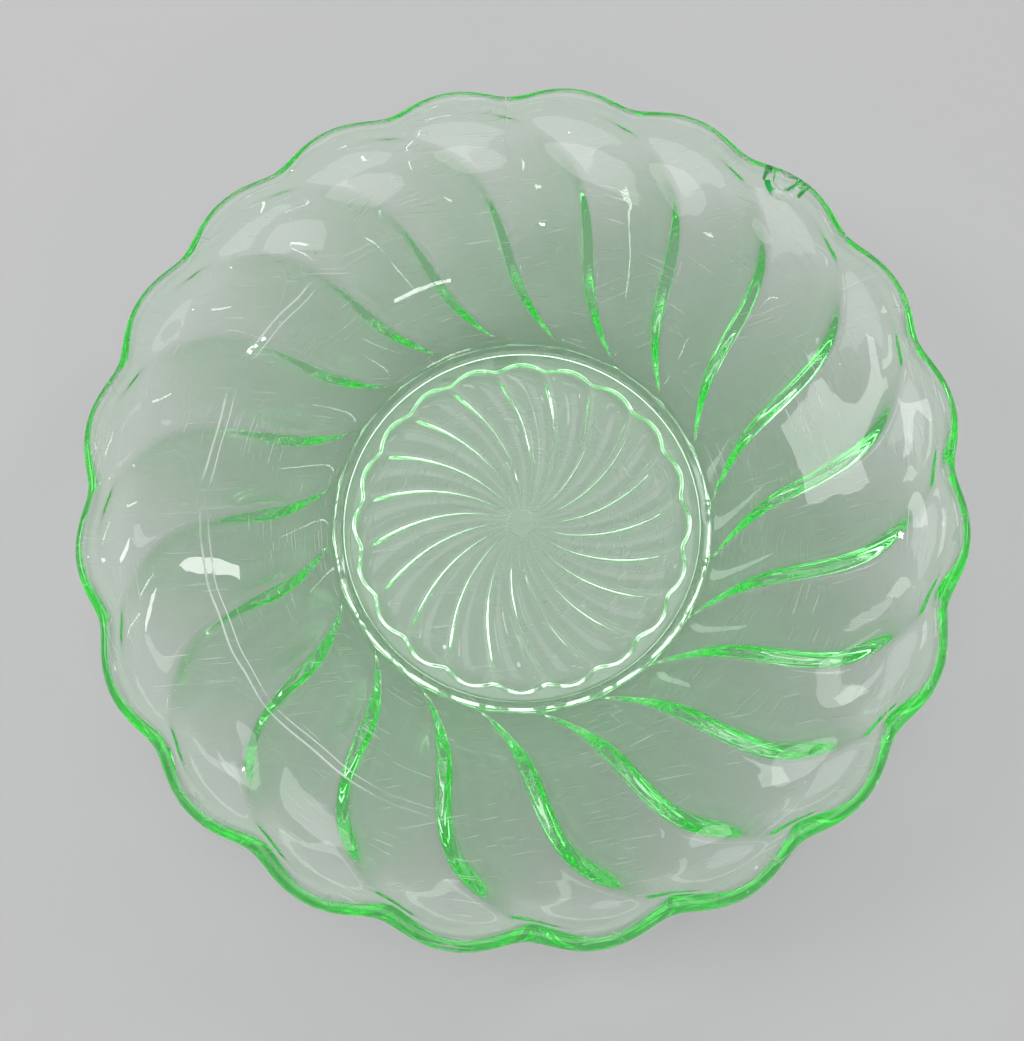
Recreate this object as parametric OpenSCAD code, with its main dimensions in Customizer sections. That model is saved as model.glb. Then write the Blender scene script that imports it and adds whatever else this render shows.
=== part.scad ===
// Shallow round dish in pressed glass: a flat floor with a flower rosette below it, a low foot
// ring, a flaring wall of swirled lobes and a rounded, scalloped rim.
// The real dish is one piece of glass. Each node is one region of that pressing, and
// neighbouring regions meet face to face on shared vertices or on a shared level plane.
// Millimetres. +Z is up, the origin is the middle of the foot's resting plane, and the middle
// of one rim scallop points along +X.

/* [Whole dish] */
// Diameter across the crests of the scallops
dish_d = 216; // [190:1:240]
// Height from the resting plane to the top of the rim
dish_h = 52; // [46:0.5:58]
// Number of lobes, which is also the number of scallops and of rosette flutes
lobes = 20; // [16:1:24]

/* [Foot and floor] */
// Outside diameter of the foot ring
foot_d = 110.6; // [104:0.2:116]
// Height of the foot ring's side
foot_h = 3; // [2.6:0.1:4]
// Inner radius of the foot's narrow resting face
rest_in_r = 52; // [51:0.1:52.6]
// Outer radius of that face
rest_out_r = 53.6; // [53:0.1:54.4]
// Height of the flat band between the resting face and the rosette
band_z = 0.6; // [0.4:0.1:0.9]
// Level of the flat floor inside the dish
floor_z = 7.2; // [6.6:0.1:8.5]
// Radius of the flat floor
floor_r = 50; // [49.5:0.1:51]

/* [Rosette under the floor] */
// Radius to the notches in the rosette's scalloped edge
rosette_notch_r = 46.9; // [44:0.1:47.5]
// How far each of its scallops stands out beyond the notches
rosette_scallop = 1.8; // [1:0.1:2.4]
// Width of the sloping border just inside that edge
border_w = 1.4; // [1:0.1:2]
// Level at the top of that border
border_z = 2.6; // [1.6:0.1:3]
// Level of the sharp ridges between flutes
ridge_recess = 1.2; // [0.8:0.1:1.6]
// Further depth of each flute's hollow at its wide end
flute_depth = 3.2; // [2:0.1:3.4]
// Sweep of the flutes in degrees per millimetre of radius
flute_sweep = 0.62; // [0.3:0.01:0.9]
// Angle of the first notch in the rosette's edge
rosette_start = -1.2; // [-9:0.1:9]
// Radius of the plain round spot in the middle
button_r = 3.6; // [3:0.1:5]

/* [Wall] */
// Radial depth of the rim's scallops
scallop = 3.1; // [2:0.1:4]
// Thickness of the glass at the rim, measured level
rim_thick = 4.4; // [3.4:0.1:4.8]
// Extra level thickness of the wall, greatest a little above halfway
wall_belly = 2; // [1:0.1:3]
// Extra depth of the outside lobes low on the wall, as a share of the scallop
lobe_swell = 1.6; // [0.8:0.1:2]
// Height fraction by which that extra depth has run out
lobe_end = 0.7; // [0.6:0.01:0.8]
// Shallowing of the lobes just above that
lobe_dip = 0.3; // [0:0.05:0.6]
// How far the wall bows in plan from a straight flare, as a share of its run
wall_bow = 0.15; // [0.05:0.01:0.2]
// How sharply the wall turns up at the lip
lip_turn = 1.1; // [0.6:0.05:1.2]
// Height fraction where it does so
lip_start = 0.885; // [0.84:0.005:0.92]
// Height of the rounded heel between floor and wall
heel_h = 12; // [8:0.5:14]
// Roundness of the creases outside
outer_soft = 0.12; // [0.08:0.01:0.3]
// Roundness of the ridges inside, and of those under the rosette
inner_soft = 0.1; // [0.05:0.01:0.3]
// Roundness of both at the rim
rim_soft = 0.48; // [0.2:0.01:0.8]

/* [Swirl] */
// Sweep of the lobes per unit of height fraction on the middle of the wall
swirl_rate = 13.7; // [6:0.1:16]
// Extra sweep towards the foot, on the cube of the height fraction
swirl_hook = 77; // [40:1:110]
// Height fraction above which that hook is gone
swirl_middle = 0.48; // [0.4:0.01:0.55]
// Extra sweep towards the rim
swirl_sweep = 74; // [30:1:90]
// Height fraction where that sweep starts
sweep_start = 0.76; // [0.66:0.01:0.8]
// Height fraction where it stops
sweep_stop = 0.92; // [0.88:0.01:0.95]

/* [Hidden] */
glass = [0.45, 0.85, 0.4];
pale_glass = [0.62, 0.92, 0.58];
foot_r = foot_d / 2;
// Fine steps: vertices round each lobe, and rings up the wall, the rim and the rosette
steps_per_lobe = 8;
around = lobes * steps_per_lobe;
wall_rings = 12;
lip_rings = 5;
nose_steps = 8;
flute_shares = [0, 0.15, 0.3, 0.45, 0.6, 0.72, 0.82, 0.9, 0.95, 1];
// The rim's rounded top is a half ellipse that stands on the edge level
nose_h = 2.2;
edge_z = dish_h - nose_h;
// The level plane where the wall stops and the turned-up lip of the rim begins
rim_start_z = dish_h - 8.5;
outer_notch_rim_r = dish_d / 2 - scallop;
// Level of the plane inside the glass where the rosette's region ends
rosette_top_z = 5.4;
// Length of the bends in the wall and in the swirl, as height fractions
lip_soft = 0.02;
sweep_soft = 0.09;

// A row of rounded arches: 1 at the crest of each lobe and 0 in the crease between two lobes
function arch(angle, soft) =
    let (c = sqrt((pow(cos(angle * lobes / 2), 2) + soft * soft) / (1 + soft * soft)),
         t = asin(c) / 90,
         low = atan(soft) / 90)
    (t * (2 - t) - low * (2 - low)) / (1 - low * (2 - low));

// Height above the foot as a share of the way up to the rim's edge level
function share_up(z) = (z - foot_h) / (edge_z - foot_h);

// How far a share has gone past a start, with a soft beginning
function past(share, start, soft) = (norm([share - start, soft]) + share - start) / 2;

// Run of the wall in plan for a given share of its rise
function wall_run(share) =
    share - wall_bow * sin(180 * share)
    + lip_turn * (share * past(1, lip_start, lip_soft) - past(share, lip_start, lip_soft));

// Turn of the lobes at a level, which is 0 at the rim
function hook(share) =
    swirl_rate * (share - swirl_middle) - swirl_hook * pow(max(0, swirl_middle - share), 3)
    + swirl_sweep * past(share, sweep_start, sweep_soft)
    - (swirl_rate + swirl_sweep) * past(share, sweep_stop, lip_soft);
function swirl(z) = hook(share_up(z)) - hook(1);

// Outer surface: the crease line between lobes, and how far the lobes stand beyond it
function crease_r(z) = foot_r + (outer_notch_rim_r - foot_r) * wall_run(share_up(z));
function swell(share) = 1 + lobe_swell / (1 + pow(share / lobe_end, 12));
function dip(share) = 1 - lobe_dip * exp(-pow((share - 0.85) / 0.1, 2));
function outer_lobe(z) = let (s = share_up(z)) scallop * (1 - pow(1 - s, 5)) * swell(s) * dip(s);
function softness(low, z) = low + (rim_soft - low) * pow(max(0, share_up(z)), 8);
function outer_r(angle, z) = crease_r(z) + outer_lobe(z) * arch(angle, softness(outer_soft, z));

// Inner surface: it leaves the floor level, turns up round the heel and then follows the wall
function level_thick(z) = rim_thick + wall_belly * sin(180 * pow(share_up(z), 1.5));
heel_run = crease_r(floor_z) - level_thick(floor_z) - floor_r;
function heel_gap(z) =
    let (t = min(1, (z - floor_z) / heel_h)) heel_run * (1 - sqrt(t * (2 - t)));
function ridge_r(z) = crease_r(z) - level_thick(z) - heel_gap(z);
function inner_lobe(z) = scallop * pow(max(0, share_up(z)), 8);
function inner_r(angle, z) = ridge_r(z) + inner_lobe(z) * arch(angle, softness(inner_soft, z));

function polar(r, angle, z) = [r * cos(angle), r * sin(angle), z];
function step_angle(j) = 360 * j / around;

function outer_ring(z) =
    [for (j = [0:around - 1]) polar(outer_r(step_angle(j), z), step_angle(j) + swirl(z), z)];
function inner_ring(z) =
    [for (j = [0:around - 1]) polar(inner_r(step_angle(j), z), step_angle(j) + swirl(z), z)];

// Ring of the rim's rounded top, where tilt 0 is the outer edge and tilt 180 the inner edge
function nose_ring(tilt) =
    [for (j = [0:around - 1])
        let (a = step_angle(j),
             out = outer_r(a, edge_z),
             in = inner_r(a, edge_z))
        polar((out + in) / 2 + (out - in) / 2 * cos(tilt), a, edge_z + nose_h * sin(tilt))];

// Closed solid through a loop of rings that all have the same number of points
module ring_solid(rings)
{
    count = len(rings);
    n = len(rings[0]);
    points = [for (ring = rings) each ring];
    faces = [
        for (i = [0:count - 1], j = [0:n - 1])
            let (k = (i + 1) % count, m = (j + 1) % n)
            each [
                [i * n + j, k * n + m, i * n + m],
                [i * n + j, k * n + j, k * n + m]
            ]
    ];
    polyhedron(points = points, faces = faces, convexity = 10);
}

// Rosette: the outline of its scalloped edge, and the levels of its underside, where share goes
// from the plain spot in the middle to the inside of the border
function rosette_edge_r(angle) = rosette_notch_r + rosette_scallop * arch(angle + 180 / lobes, 0.3);
function rosette_turn(share) = rosette_start - flute_sweep * rosette_notch_r * (1 - share);
function flute_level(angle, share) =
    let (close = pow(share, 14),
         scoop = flute_depth * pow(share, 0.85) * pow(arch(angle + 180 / lobes, inner_soft), 0.75))
    ridge_recess + (border_z - ridge_recess) * close + scoop * (1 - close);
function outline_ring(z) =
    [for (j = [0:around - 1])
        let (a = step_angle(j)) polar(rosette_edge_r(a), a + rosette_start, z)];
function flute_ring(share) =
    [for (j = [0:around - 1])
        let (a = step_angle(j),
             r = button_r + (rosette_edge_r(a) - border_w - button_r) * share)
        polar(r, a + rosette_turn(share), flute_level(a, share))];
function button_ring(z) =
    [for (j = [0:around - 1]) polar(button_r, step_angle(j) + rosette_turn(0), z)];

function plan(ring) = [for (p = ring) [p[0], p[1]]];

// Low ring that the dish stands on, and the flat band inside it up to the rosette's edge
module foot_ring()
{
    color(pale_glass)
    difference()
    {
        rotate_extrude($fn = 160)
            polygon([
                [0, band_z], [rest_in_r - 0.7, band_z], [rest_in_r, 0], [rest_out_r, 0],
                [foot_r, foot_h - 0.6], [foot_r, foot_h], [0, foot_h]
            ]);
        linear_extrude(foot_h + 1) polygon(plan(outline_ring(0)));
    }
}

// Sloping scalloped border, and inside it the swept, scooped flutes that meet in sharp ridges
module rosette()
{
    flutes = [for (share = flute_shares) flute_ring(share)];
    color(glass)
    ring_solid(concat(
        flutes, [outline_ring(band_z), outline_ring(rosette_top_z), button_ring(rosette_top_z)]
    ));
}

// Plain round spot where the flutes run out
module centre_button()
{
    color(pale_glass)
    translate([0, 0, ridge_recess])
        linear_extrude(rosette_top_z - ridge_recess)
        polygon(plan(button_ring(0)));
}

// Flat plate of glass above the foot and the rosette
module well_floor()
{
    color(glass)
    difference()
    {
        translate([0, 0, foot_h])
            linear_extrude(floor_z - foot_h)
            polygon(plan(inner_ring(floor_z)));
        linear_extrude(rosette_top_z) polygon(plan(outline_ring(0)));
    }
}

// Wall of swirled lobes, from the foot to the level where the rim begins
module swirl_wall()
{
    outside = [for (i = [0:wall_rings]) outer_ring(foot_h + (rim_start_z - foot_h) * i / wall_rings)];
    inside = [for (i = [wall_rings:-1:1])
        inner_ring(floor_z + (rim_start_z - floor_z) * pow(i / wall_rings, 1.5))];
    floor_edge = inner_ring(floor_z);
    floor_foot = [for (p = floor_edge) [p[0], p[1], foot_h]];
    color(glass)
    ring_solid(concat(outside, inside, [floor_edge, floor_foot]));
}

// Lip, where the wall turns up, and its rounded, scalloped top
module scalloped_rim()
{
    lip = edge_z - rim_start_z;
    outside = [for (i = [0:lip_rings - 1]) outer_ring(rim_start_z + lip * i / lip_rings)];
    nose = [for (i = [0:nose_steps]) nose_ring(180 * i / nose_steps)];
    inside = [for (i = [lip_rings - 1:-1:0]) inner_ring(rim_start_z + lip * i / lip_rings)];
    color(pale_glass)
    ring_solid(concat(outside, nose, inside));
}

foot_ring();
rosette();
centre_button();
well_floor();
swirl_wall();
scalloped_rim();
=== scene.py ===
import math

import bpy
import numpy as np
from mathutils import Matrix, Vector


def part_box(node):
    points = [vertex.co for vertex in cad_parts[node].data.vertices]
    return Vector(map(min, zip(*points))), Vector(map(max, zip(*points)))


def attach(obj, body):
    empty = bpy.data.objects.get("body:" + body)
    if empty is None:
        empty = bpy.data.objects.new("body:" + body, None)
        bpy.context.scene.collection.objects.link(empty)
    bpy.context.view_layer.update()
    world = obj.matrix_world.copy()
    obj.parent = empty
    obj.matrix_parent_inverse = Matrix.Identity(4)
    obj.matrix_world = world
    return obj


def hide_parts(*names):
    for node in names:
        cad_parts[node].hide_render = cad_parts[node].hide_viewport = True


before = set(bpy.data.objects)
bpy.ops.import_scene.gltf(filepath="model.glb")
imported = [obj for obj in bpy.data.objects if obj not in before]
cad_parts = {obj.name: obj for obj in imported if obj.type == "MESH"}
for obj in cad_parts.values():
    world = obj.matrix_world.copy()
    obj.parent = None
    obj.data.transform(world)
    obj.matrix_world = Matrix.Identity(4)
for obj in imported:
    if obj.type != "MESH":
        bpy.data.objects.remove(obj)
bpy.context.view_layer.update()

# ---------------------------------------------------------------------------------------------
# Sizes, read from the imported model. Everything below is in metres, and angles are in radians.
# ---------------------------------------------------------------------------------------------
rim_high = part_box("scalloped_rim")[1]
foot_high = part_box("foot_ring")[1]
floor_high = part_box("well_floor")[1]
button_low, button_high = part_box("centre_button")

MM = 0.001
CREST_R = rim_high[0]
TOP_Z = rim_high[2]
FOOT_R = foot_high[0]
FOOT_H = foot_high[2]
FLOOR_R = floor_high[0]
FLOOR_Z = floor_high[2]
BUTTON_R = button_high[0]
RIDGE_RECESS = button_low[2]

# Shape of the pressing, as in the CAD model. Starts, stops, middles and ends are shares of the
# height from the foot to the rim's edge level.
LOBES = 20
SCALLOP = 3.1 * MM
RIM_THICK = 4.4 * MM
WALL_BELLY = 2.0 * MM
BELLY_POWER = 1.5
NOSE_H = 2.2 * MM
HEEL_H = 12 * MM
WALL_BOW = 0.15
LIP_TURN = 1.1
LIP_START = 0.885
LIP_SOFT = 0.02
LOBE_ONSET = 5
LOBE_SWELL = 1.6
LOBE_END = 0.70
LOBE_FADE = 12
LOBE_DIP = 0.3
DIP_MIDDLE = 0.85
DIP_WIDTH = 0.1
OUTER_SOFT = 0.12
INNER_SOFT = 0.10
RIM_SOFT = 0.48
RIM_GROW = 8
SWIRL_RATE = math.radians(13.7)
SWIRL_HOOK = math.radians(77)
SWIRL_MIDDLE = 0.48
SWIRL_SWEEP = math.radians(74)
SWEEP_START = 0.76
SWEEP_SOFT = 0.09
SWEEP_STOP = 0.92
BAND_Z = 0.6 * MM
BEAD_IN_R = 52.0 * MM
BEAD_OUT_R = 53.6 * MM
ROSETTE_NOTCH_R = 46.9 * MM
ROSETTE_SCALLOP = 1.8 * MM
ROSETTE_SOFT = 0.3
BORDER_W = 1.4 * MM
BORDER_Z = 2.6 * MM
BORDER_CLOSE = 14
FLUTE_DEPTH = 3.2 * MM
FLUTE_FALL = 0.85
FLUTE_ROUND = 0.75
FLUTE_SWEEP = math.radians(0.62) / MM
ROSETTE_START = math.radians(-1.2)

EDGE_Z = TOP_Z - NOSE_H
NOTCH_R = CREST_R - SCALLOP
LOBE_TURN = 2 * math.pi / LOBES

# Vertices round each lobe, drawn together towards the creases, where the glass bends fastest
PER_LOBE = 22
AROUND = LOBES * PER_LOBE
CREASE_PULL = 0.6
even = np.arange(AROUND) * 2 * math.pi / AROUND
STEP = even + CREASE_PULL * np.sin(LOBES * even) / LOBES


def arch(angle, soft):
    """Row of rounded arches: 1 at the crest of each lobe, 0 in the crease between two."""
    c = np.sqrt((np.cos(angle * LOBES / 2) ** 2 + soft * soft) / (1 + soft * soft))
    t = np.arcsin(c) / (math.pi / 2)
    low = math.atan(soft) / (math.pi / 2)
    return (t * (2 - t) - low * (2 - low)) / (1 - low * (2 - low))


def share_up(z):
    """Height above the foot as a share of the way up to the rim's edge level."""
    return (z - FOOT_H) / (EDGE_Z - FOOT_H)


def past(s, start, soft):
    """How far s has gone past start, with a soft beginning."""
    return (math.hypot(s - start, soft) + s - start) / 2


def wall_run(s):
    """Run of the wall in plan for a given share of its rise."""
    lip = s * past(1, LIP_START, LIP_SOFT) - past(s, LIP_START, LIP_SOFT)
    return s - WALL_BOW * math.sin(math.pi * s) + LIP_TURN * lip


def hook(s):
    """Turn of the lobes at a share of the height, up to a constant."""
    return (
        SWIRL_RATE * (s - SWIRL_MIDDLE)
        - SWIRL_HOOK * max(0, SWIRL_MIDDLE - s) ** 3
        + SWIRL_SWEEP * past(s, SWEEP_START, SWEEP_SOFT)
        - (SWIRL_RATE + SWIRL_SWEEP) * past(s, SWEEP_STOP, LIP_SOFT)
    )


def swirl(z):
    """Turn of the lobes at a level, which is 0 at the rim."""
    return hook(share_up(z)) - hook(1)


def crease_r(z):
    """Radius of the crease line between two lobes on the outside."""
    return FOOT_R + (NOTCH_R - FOOT_R) * wall_run(share_up(z))


def outer_r(z):
    """Radii of the outside at the lobe steps."""
    s = share_up(z)
    swell = 1 + LOBE_SWELL / (1 + (s / LOBE_END) ** LOBE_FADE)
    lobe = SCALLOP * (1 - (1 - s) ** LOBE_ONSET) * swell
    lobe *= 1 - LOBE_DIP * math.exp(-(((s - DIP_MIDDLE) / DIP_WIDTH) ** 2))
    return crease_r(z) + lobe * arch(STEP, OUTER_SOFT + (RIM_SOFT - OUTER_SOFT) * s ** RIM_GROW)


def level_thick(z):
    """Thickness of the wall, measured level."""
    return RIM_THICK + WALL_BELLY * math.sin(math.pi * max(0, share_up(z)) ** BELLY_POWER)


HEEL_RUN = crease_r(FLOOR_Z) - level_thick(FLOOR_Z) - FLOOR_R


def inner_r(z):
    """Radii of the inside at the lobe steps, with the round heel where it leaves the floor."""
    t = min(1, (z - FLOOR_Z) / HEEL_H)
    ridge = crease_r(z) - level_thick(z) - HEEL_RUN * (1 - math.sqrt(t * (2 - t)))
    grow = max(0, share_up(z)) ** RIM_GROW
    return ridge + SCALLOP * grow * arch(STEP, INNER_SOFT + (RIM_SOFT - INNER_SOFT) * grow)


def ring(r, z, turn=0.0):
    """One ring of vertices at the lobe steps."""
    a = STEP + turn
    r = np.broadcast_to(r, a.shape)
    return np.column_stack((r * np.cos(a), r * np.sin(a), np.broadcast_to(z, a.shape)))


def flute_level(share):
    """Underside of the rosette: scooped flutes that close up just inside the border."""
    close = share ** BORDER_CLOSE
    across = arch(STEP + LOBE_TURN / 2, INNER_SOFT) ** FLUTE_ROUND
    scoop = FLUTE_DEPTH * share ** FLUTE_FALL * across
    return RIDGE_RECESS + (BORDER_Z - RIDGE_RECESS) * close + scoop * (1 - close)


# ---------------------------------------------------------------------------------------------
# The dish as one watertight mesh, ring by ring from the middle of the well over the rim and
# back to the middle of the rosette
# ---------------------------------------------------------------------------------------------
FLOOR_SHARES = (0.3, 0.6, 0.85, 0.95, 0.99)
WALL_RINGS = 62
NOSE_RINGS = 15
FLUTE_RINGS = 40
# Powers that draw rings together towards the heel, and towards the rosette's border
HEEL_CROWDING = 1.5
BORDER_CROWDING = 1.3
rings = []
floor_turn = swirl(FLOOR_Z)
for share in FLOOR_SHARES:
    rings.append(ring(FLOOR_R * share, FLOOR_Z, floor_turn))
for i in range(WALL_RINGS):
    z = FLOOR_Z + (EDGE_Z - FLOOR_Z) * (i / WALL_RINGS) ** HEEL_CROWDING
    rings.append(ring(inner_r(z), z, swirl(z)))
edge_out, edge_in = outer_r(EDGE_Z), inner_r(EDGE_Z)
for i in range(NOSE_RINGS):
    tilt = math.pi * (1 - i / (NOSE_RINGS - 1))
    r = (edge_out + edge_in) / 2 + (edge_out - edge_in) / 2 * math.cos(tilt)
    rings.append(ring(r, EDGE_Z + NOSE_H * math.sin(tilt)))
for i in range(1, WALL_RINGS):
    z = EDGE_Z + (FOOT_H - EDGE_Z) * (i / WALL_RINGS)
    rings.append(ring(outer_r(z), z, swirl(z)))

# Section of the foot ring from its top edge to the flat band inside it: a low bead with a narrow
# resting face
foot_turn = swirl(FOOT_H)
for r, z in (
    (FOOT_R, FOOT_H),
    (FOOT_R, FOOT_H - 0.3 * MM),
    (FOOT_R - 0.1 * MM, FOOT_H - 0.6 * MM),
    (BEAD_OUT_R + 0.9 * MM, 1.3 * MM),
    (BEAD_OUT_R + 0.2 * MM, 0.3 * MM),
    (BEAD_OUT_R, 0.08 * MM),
    (BEAD_OUT_R - 0.25 * MM, 0.0),
    (BEAD_IN_R + 0.2 * MM, 0.0),
    (BEAD_IN_R - 0.05 * MM, 0.1 * MM),
    (BEAD_IN_R - 0.5 * MM, BAND_Z - 0.15 * MM),
    (BEAD_IN_R - 0.7 * MM, BAND_Z - 0.02 * MM),
    (BEAD_IN_R - 1.0 * MM, BAND_Z),
):
    rings.append(ring(r, z, foot_turn))

# Rosette: the swirl has turned the steps by almost two lobes at the foot, and the lobes repeat,
# so the rosette goes on from the step that lies nearest to its own start. Its sloping border
# comes first, as shares of the border's width and rise, and then the flutes.
lobe_shift = round((ROSETTE_START - foot_turn) / LOBE_TURN)
border_r = ROSETTE_NOTCH_R + ROSETTE_SCALLOP * arch(STEP + LOBE_TURN / 2, ROSETTE_SOFT)
start = ROSETTE_START - lobe_shift * LOBE_TURN
inner_border_r = border_r - BORDER_W
border_rise = flute_level(1.0) - BAND_Z
for share, rise in (
    (-0.25, 0.0), (-0.08, 0.01), (0.05, 0.05), (0.35, 0.35), (0.65, 0.68), (0.9, 0.93)
):
    rings.append(ring(border_r - BORDER_W * share, BAND_Z + border_rise * rise, start))
for i in range(FLUTE_RINGS + 1):
    share = 1 - (i / FLUTE_RINGS) ** BORDER_CROWDING
    r = BUTTON_R + (inner_border_r - BUTTON_R) * share
    turn = start - FLUTE_SWEEP * ROSETTE_NOTCH_R * (1 - share)
    rings.append(ring(r, flute_level(share), turn))
rings.append(ring(BUTTON_R * 0.5, RIDGE_RECESS, turn))


def lofted(name, rings, top, bottom):
    """Mesh through the rings, closed to a point at either end."""
    n = len(rings[0])
    verts = np.vstack([[top]] + rings + [[bottom]])
    faces = []
    for j in range(n):
        faces.append((0, 1 + j, 1 + (j + 1) % n))
    for i in range(len(rings) - 1):
        a, b = 1 + i * n, 1 + (i + 1) * n
        for j in range(n):
            m = (j + 1) % n
            faces.append((a + j, b + j, b + m, a + m))
    last, tip = 1 + (len(rings) - 1) * n, len(verts) - 1
    for j in range(n):
        faces.append((last + j, tip, last + (j + 1) % n))
    mesh = bpy.data.meshes.new(name)
    mesh.from_pydata(verts.tolist(), [], faces)
    mesh.shade_smooth()
    obj = bpy.data.objects.new(name, mesh)
    bpy.context.scene.collection.objects.link(obj)
    return obj


dish = lofted("dish_glass", rings, (0, 0, FLOOR_Z), (0, 0, RIDGE_RECESS))

# Marks the vertices of the inside, from the well up to the middle of the rim's top
inside_count = 1 + (len(FLOOR_SHARES) + WALL_RINGS + NOSE_RINGS // 2 + 1) * AROUND
inside = dish.data.attributes.new("inside", "FLOAT", "POINT")
inside.data.foreach_set("value", [float(i < inside_count) for i in range(len(dish.data.vertices))])


# ---------------------------------------------------------------------------------------------
# Glass: clear and fire-polished, with faint ripples, hairline scratches, wear and seeds
# ---------------------------------------------------------------------------------------------
class Graph:
    """Shorthand for the nodes of one material."""

    def __init__(self, name):
        self.mat = bpy.data.materials.new(name)
        self.mat.use_nodes = True
        self.nodes, self.links = self.mat.node_tree.nodes, self.mat.node_tree.links
        self.bsdf = self.nodes["Principled BSDF"]

    def feed(self, socket, value):
        """Link another node's output to a socket, or set the socket to a constant."""
        if isinstance(value, bpy.types.NodeSocket):
            self.links.new(value, socket)
        else:
            socket.default_value = value

    def node(self, kind, inputs=None, **settings):
        """New node with its settings and inputs."""
        node = self.nodes.new(kind)
        for key, value in settings.items():
            setattr(node, key, value)
        for key, value in (inputs or {}).items():
            self.feed(node.inputs[key], value)
        return node

    def math(self, operation, *values):
        """Output of one step of arithmetic."""
        node = self.nodes.new("ShaderNodeMath")
        node.operation = operation
        for socket, value in zip(node.inputs, values):
            self.feed(socket, value)
        return node.outputs[0]

    def ramp(self, value, low, high, to_low=0.0, to_high=1.0):
        """Smooth step of a value from one range to another."""
        inputs = {
            "Value": value, "From Min": low, "From Max": high, "To Min": to_low, "To Max": to_high
        }
        return self.node("ShaderNodeMapRange", inputs, interpolation_type="SMOOTHSTEP").outputs[0]

    def noise(self, vector, scale):
        """Smooth noise with one octave of detail."""
        inputs = {"Vector": vector, "Scale": scale, "Detail": 1.0}
        return self.node("ShaderNodeTexNoise", inputs).outputs[0]

    def near(self, value, middle, half_width):
        """1 where a value is at the middle, falling to 0 at the half width."""
        away = self.math("ABSOLUTE", self.math("SUBTRACT", value, middle))
        return self.ramp(away, half_width * 0.5, half_width, 1.0, 0.0)

    def product(self, first, *others):
        """Product of two or more values."""
        for value in others:
            first = self.math("MULTIPLY", first, value)
        return first


g = Graph("uranium_glass")
place = g.node("ShaderNodeTexCoord").outputs["Object"]
xyz = g.node("ShaderNodeSeparateXYZ", {0: place})
x, y, z = xyz.outputs
radius = g.math("SQRT", g.math("ADD", g.product(x, x), g.product(y, y)))
angle = g.math("ARCTAN2", y, x)
is_inside = g.node("ShaderNodeAttribute", attribute_name="inside").outputs["Fac"]

# Patches of heavier and lighter wear
wear = g.noise(place, 42.0)

# Hairline scratches in patches: one set runs round the dish, and the other straight across it.
# Each is a noise stretched into lines.
round_the_dish = g.node(
    "ShaderNodeCombineXYZ",
    {0: g.product(angle, 5.0), 1: g.product(radius, 3000.0), 2: is_inside},
).outputs[0]
across = g.node(
    "ShaderNodeMapping", {"Vector": place, "Rotation": (0, 0, 0.9), "Scale": (70, 3400, 70)}
).outputs[0]
round_lines = g.product(g.ramp(g.noise(round_the_dish, 1.0), 0.65, 0.73), g.ramp(wear, 0.46, 0.58))
across_lines = g.product(g.ramp(g.noise(across, 1.0), 0.68, 0.76), g.ramp(wear, 0.52, 0.42))
scratches = g.math("MAXIMUM", round_lines, across_lines)

# Wear ring inside the wall, where another dish has stood and turned: two fine broken lines
worn_r = g.math("ADD", radius, g.product(wear, 4 * MM))
worn_lines = g.math(
    "MAXIMUM", g.near(worn_r, 83.5 * MM, 0.3 * MM), g.near(worn_r, 81.8 * MM, 0.2 * MM)
)
left_side = g.product(g.ramp(x, -10 * MM, -60 * MM), is_inside)
worn_ring = g.product(worn_lines, left_side, g.ramp(wear, 0.3, 0.5))

# Small bubbles and specks
cells = g.node("ShaderNodeTexVoronoi", {"Vector": place, "Scale": 75.0})
cell_value = g.node("ShaderNodeSeparateColor", {0: cells.outputs["Color"]}).outputs[0]
picked = g.math("GREATER_THAN", cell_value, 0.72)
seeds = g.product(g.ramp(cells.outputs["Distance"], 0.032, 0.05, 1.0, 0.0), picked)

# Matte places: the resting face of the foot, and the spot in the middle of the rosette
resting = g.ramp(z, 0.05 * MM, 0.3 * MM, 1.0, 0.0)
low_down = g.ramp(z, RIDGE_RECESS + 0.3 * MM, RIDGE_RECESS + 0.6 * MM, 1.0, 0.0)
spot = g.product(g.ramp(radius, BUTTON_R, BUTTON_R + 0.6 * MM, 1.0, 0.0), low_down)
matte = g.math("MAXIMUM", resting, spot)

# Seam line at one notch, left by the mould
seam = g.product(g.near(angle, math.radians(81.6), 0.0018), g.ramp(radius, 94 * MM, 99 * MM))

# Bruise in the rim: broken crescents round one place, their cracks painted green as a painted glow
# of light caught in the glass
bruise_place = (83 * MM, 67.5 * MM, 50 * MM)
bruise_away = g.node(
    "ShaderNodeVectorMath", {0: place, 1: bruise_place}, operation="DISTANCE"
).outputs["Value"]
small_arc = g.near(bruise_away, 3.0 * MM, 0.7 * MM)
large_arc = g.near(bruise_away, 5.8 * MM, 0.9 * MM)
broken = g.ramp(g.noise(place, 260.0), 0.47, 0.53)
bruise_arcs_and_painted_glow = g.product(g.math("MAXIMUM", small_arc, large_arc), broken)

# How opaque each kind of mark is, and the bruise's painted green glow. All other marks are white.
marks = g.product(scratches, 0.4)
for mark, share in (
    (worn_ring, 0.6), (seeds, 0.9), (seam, 0.4), (bruise_arcs_and_painted_glow, 0.85), (matte, 0.45)
):
    marks = g.math("MAXIMUM", marks, g.product(mark, share))
sheen = g.ramp(wear, 0.4, 0.75, 0.0, 0.03)
g.feed(g.bsdf.inputs["Roughness"], g.math("ADD", sheen, g.product(marks, 0.6)))
g.feed(g.bsdf.inputs["Transmission Weight"], g.math("SUBTRACT", 1.0, marks))
# Painted glow: the bruise's crescents get a green base colour that stands in for light caught
# green in the cracks
colour_and_painted_glow = g.node(
    "ShaderNodeMix", {0: bruise_arcs_and_painted_glow, 6: (1, 1, 1, 1), 7: (0.01, 0.62, 0.08, 1)}, data_type="RGBA"
)
g.feed(g.bsdf.inputs["Base Color"], colour_and_painted_glow.outputs[2])

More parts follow.
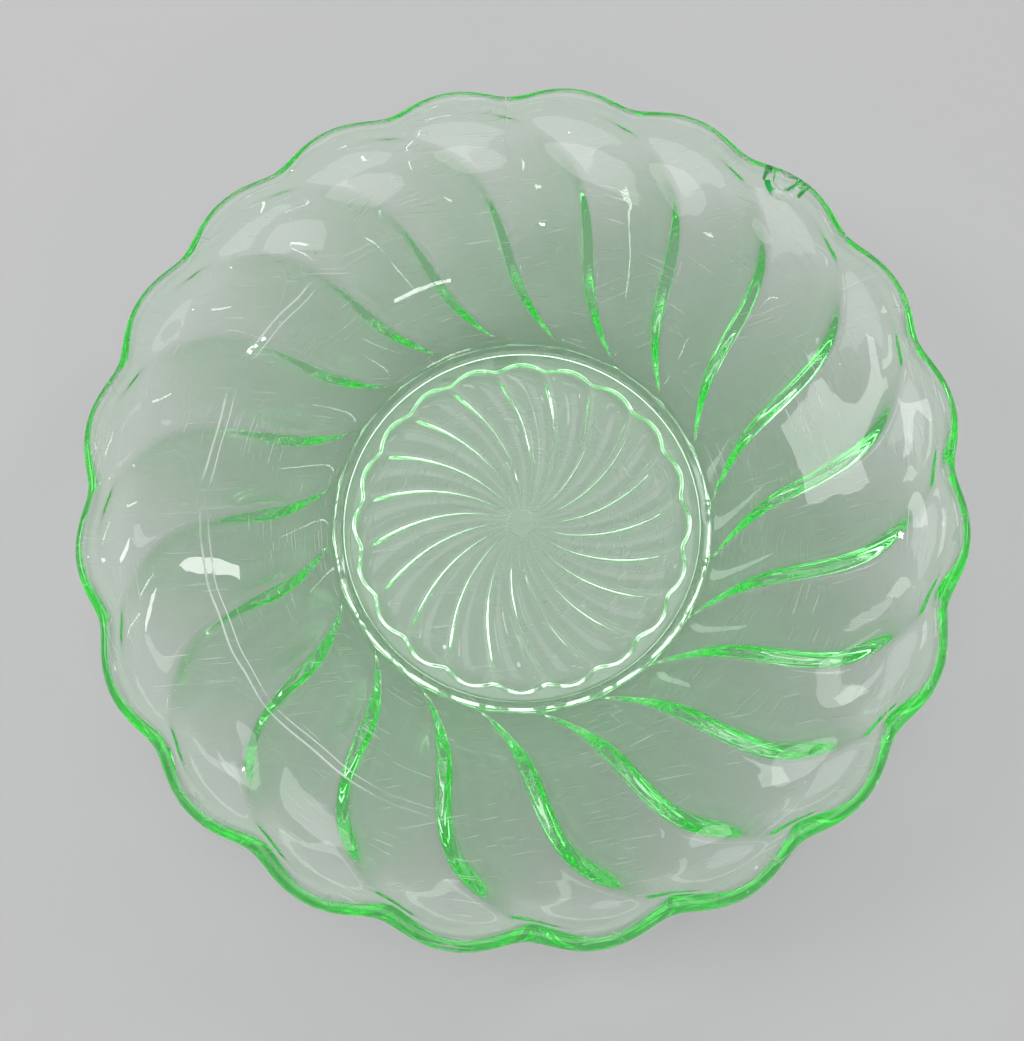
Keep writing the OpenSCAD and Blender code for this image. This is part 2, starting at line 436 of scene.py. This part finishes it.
# Ripples of the pressed surface, and the bruise's own
bruise_rings = g.math("SINE", g.product(bruise_away, 2400.0))
bruise_ripples = g.product(bruise_rings, g.ramp(bruise_away, 3 * MM, 8 * MM, 7.0, 0.0))
height = g.math("ADD", g.noise(place, 160.0), bruise_ripples)
bump = g.node("ShaderNodeBump", {"Height": height, "Strength": 1.0, "Distance": 0.04 * MM})
g.feed(g.bsdf.inputs["Normal"], bump.outputs["Normal"])

g.bsdf.inputs["IOR"].default_value = 1.51
# Painted glow: a faint, even green emission that stands in for the green uranium glass gives off
# in daylight
g.bsdf.inputs["Emission Color"].default_value = (0.12, 1.0, 0.2, 1)
g.bsdf.inputs["Emission Strength"].default_value = 0.014
g.mat.cycles.emission_sampling = "NONE"
# Light turns green on its way through the glass
absorb = g.node("ShaderNodeVolumeAbsorption", {"Color": (0.0, 0.97, 0.12, 1), "Density": 17.0})
g.links.new(absorb.outputs["Volume"], g.nodes["Material Output"].inputs["Volume"])
dish.data.materials.append(g.mat)

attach(dish, "root")
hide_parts("foot_ring", "rosette", "centre_button", "well_floor", "swirl_wall", "scalloped_rim")

# ---------------------------------------------------------------------------------------------
# Floor, light and camera
# ---------------------------------------------------------------------------------------------
FLOOR_SIZE = 40
FLOOR_GAP = 0.2 * MM  # keeps the floor clear of the foot's resting face
floor_graph = Graph("studio_floor")
floor_graph.bsdf.inputs["Base Color"].default_value = (0.62, 0.62, 0.62, 1)
floor_graph.bsdf.inputs["Roughness"].default_value = 0.9
floor_graph.bsdf.inputs["Specular IOR Level"].default_value = 0.1
bpy.ops.mesh.primitive_plane_add(size=FLOOR_SIZE, location=(0, 0, -FLOOR_GAP))
floor = bpy.context.object
floor.name = "studio_floor"
floor.data.materials.append(floor_graph.mat)

# Plain grey surroundings, a little paler overhead than at the horizon
scene = bpy.context.scene
world = bpy.data.worlds.new("studio")
world.use_nodes = True
nodes, links = world.node_tree.nodes, world.node_tree.links
direction = nodes.new("ShaderNodeTexCoord")
upward = nodes.new("ShaderNodeSeparateXYZ")
sky = nodes.new("ShaderNodeValToRGB")
sky.color_ramp.elements[0].position = 0.1
sky.color_ramp.elements[0].color = (0.28, 0.28, 0.28, 1)
sky.color_ramp.elements[1].position = 0.9
sky.color_ramp.elements[1].color = (0.34, 0.34, 0.35, 1)
links.new(direction.outputs["Generated"], upward.inputs["Vector"])
links.new(upward.outputs["Z"], sky.inputs["Fac"])
links.new(sky.outputs["Color"], nodes["Background"].inputs["Color"])
scene.world = world


def softbox(name, place, size, power):
    """Rectangular light of a power in watts that faces the dish."""
    light = bpy.data.lights.new(name, "AREA")
    light.shape = "RECTANGLE"
    light.size, light.size_y = size
    light.energy = power
    obj = bpy.data.objects.new(name, light)
    obj.location = place
    obj.rotation_euler = (Vector() - Vector(place)).to_track_quat("-Z", "Y").to_euler()
    scene.collection.objects.link(obj)


softbox("ceiling", (0, 0, 2.4), (2.0, 2.0), 24)
softbox("window_left", (-1.2, 0.4, 1.1), (0.45, 0.6), 3.6)
softbox("strip_right", (1.3, 0.5, 1.1), (0.08, 0.5), 1.4)
softbox("panel_back", (0.0, 1.25, 1.45), (2.0, 0.2), 3.5)
softbox("strip_front", (0.5, -1.5, 1.0), (0.5, 0.06), 1.2)
# Small bright lights for the glints on creases and rim
GLINTS = ((0.5, 0.9, 1.2), (-0.7, 0.5, 1.3), (0.9, -0.4, 1.2), (-0.3, -0.9, 1.2))
for i, place in enumerate(GLINTS):
    softbox(f"glint_{i}", place, (0.02, 0.02), 0.2)

# Camera above the near side of the dish, with its aim as pan, tilt and roll
camera = bpy.data.cameras.new("camera")
camera.sensor_fit = "HORIZONTAL"
camera.sensor_width = 36
camera.lens = 36.1
camera_obj = bpy.data.objects.new("camera", camera)
aim = (
    Matrix.Rotation(math.radians(-2.26), 4, "Z")
    @ Matrix.Rotation(math.radians(13.05), 4, "X")
    @ Matrix.Rotation(math.radians(-7.87), 4, "Z")
)
camera_obj.matrix_world = Matrix.Translation((-0.0051, -0.0652, 0.2899)) @ aim
scene.collection.objects.link(camera_obj)
scene.camera = camera_obj

scene.view_settings.view_transform = "Standard"
# Light bounces many times between the two sides of the glass
scene.cycles.max_bounces = 24
scene.cycles.transmission_bounces = 24
scene.cycles.glossy_bounces = 16
